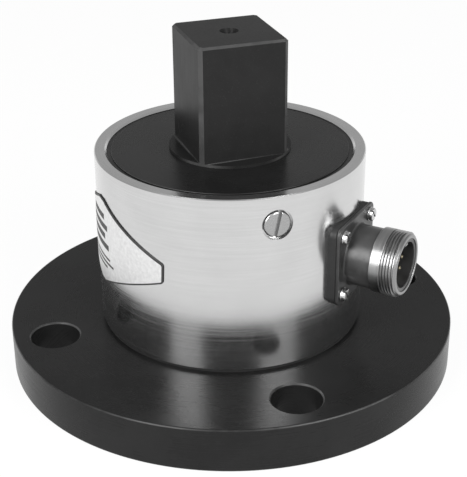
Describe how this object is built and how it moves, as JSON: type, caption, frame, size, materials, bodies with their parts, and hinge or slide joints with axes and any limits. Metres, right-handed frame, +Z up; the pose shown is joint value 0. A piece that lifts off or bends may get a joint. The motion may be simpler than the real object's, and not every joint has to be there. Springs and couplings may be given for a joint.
{
  "type": "torque sensor",
  "caption": "Static torque sensor with a bolt flange below, a square drive above, a round steel cover, a nameplate and a threaded side receptacle.",
  "frame": {"origin": "centre of the flange's seating face, on the torque axis", "axes": "+Z up the torque axis from the flange to the drive square; -Y is the side that a flat of the square and the single front cover screw face; the receptacle points 47.5 degrees from +X towards -Y and the nameplate is on -X"},
  "size_m": [0.196, 0.196, 0.147],
  "materials": {
    "black_oxide_steel": "satin black oxide",
    "brushed_stainless": "brushed round its axis",
    "screw_steel": "turned and polished",
    "sealant": "matt",
    "gasket_rubber": "matt",
    "saddle_rubber": "moulded, slightly glossy",
    "black_anodised": "black anodised",
    "nickel_plate": "bright nickel plate",
    "insert_plastic": "moulded",
    "gold_plate": "gold plate",
    "zinc_plate": "bright zinc plate",
    "plate_aluminium": "satin, printed",
    "adhesive_film": "foam film",
    "gauge_foil": "foil on amber backing",
    "silicone": "clear coating",
    "terminal_copper": "tinned copper",
    "red_enamel": "insulated lead",
    "board_laminate": "solder mask",
    "spacer_brass": "turned",
    "resistor_epoxy": "epoxy",
    "block_plastic": "moulded",
    "blue_insulation": "insulated wire"
  },
  "bodies": {
    "root": {"sensing_element": "black_oxide_steel", "cover_sleeve": "brushed_stainless", "cover_screws": "screw_steel", "top_seal": "sealant", "base_gasket": "gasket_rubber", "saddle": "saddle_rubber", "receptacle_body": "black_anodised", "receptacle_thread": "nickel_plate", "receptacle_insert": "insert_plastic", "contact_pins": "gold_plate", "insert_clip": "zinc_plate", "receptacle_screws": "zinc_plate", "screw_washers": "zinc_plate", "nameplate": "plate_aluminium", "nameplate_film": "adhesive_film", "strain_gauges": "gauge_foil", "gauge_coating": "silicone", "solder_terminals": "terminal_copper", "gauge_leads": "red_enamel", "bridge_board": "board_laminate", "board_spacers": "spacer_brass", "board_screws": "zinc_plate", "trim_resistors": "resistor_epoxy", "terminal_block": "block_plastic", "receptacle_wires": "blue_insulation"}
  },
  "joints": []
}
